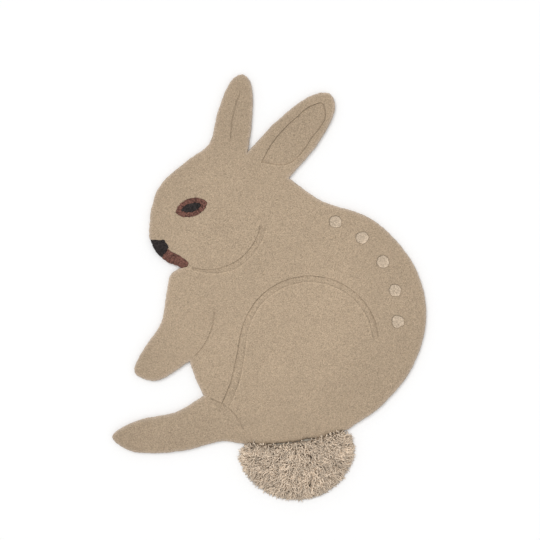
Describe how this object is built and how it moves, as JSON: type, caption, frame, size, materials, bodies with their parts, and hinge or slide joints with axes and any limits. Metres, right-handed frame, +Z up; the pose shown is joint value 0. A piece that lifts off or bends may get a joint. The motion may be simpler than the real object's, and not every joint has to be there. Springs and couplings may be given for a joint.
{
  "type": "rabbit shaped kids rug",
  "caption": "Flat tufted wool floor rug cut to the outline of a sitting rabbit, with carved lines, inlaid eye, nose and mouth, pale round spots and a long-piled tail.",
  "frame": {"origin": "on the underside, at the middle of the rug's bounding box", "axes": "+Z up out of the pile, +Y from the tail towards the tips of the ears, +X away from the rabbit's nose"},
  "size_m": [0.809, 1.098, 0.0335],
  "materials": {
    "wool": "beige cut wool pile, matt, finely mottled",
    "shag_wool": "beige long-piled wool yarn, matt",
    "pale_wool": "pale beige cut wool pile, matt",
    "brown_wool": "red-brown cut wool pile, matt",
    "black_wool": "near-black cut wool pile, matt"
  },
  "bodies": {
    "root": {"body": "wool", "tail": "shag_wool", "eye_rim": "brown_wool", "mouth": "brown_wool", "pupil": "black_wool", "nose": "black_wool", "spot_1": "pale_wool", "spot_2": "pale_wool", "spot_3": "pale_wool", "spot_4": "pale_wool", "spot_5": "pale_wool"}
  },
  "joints": []
}
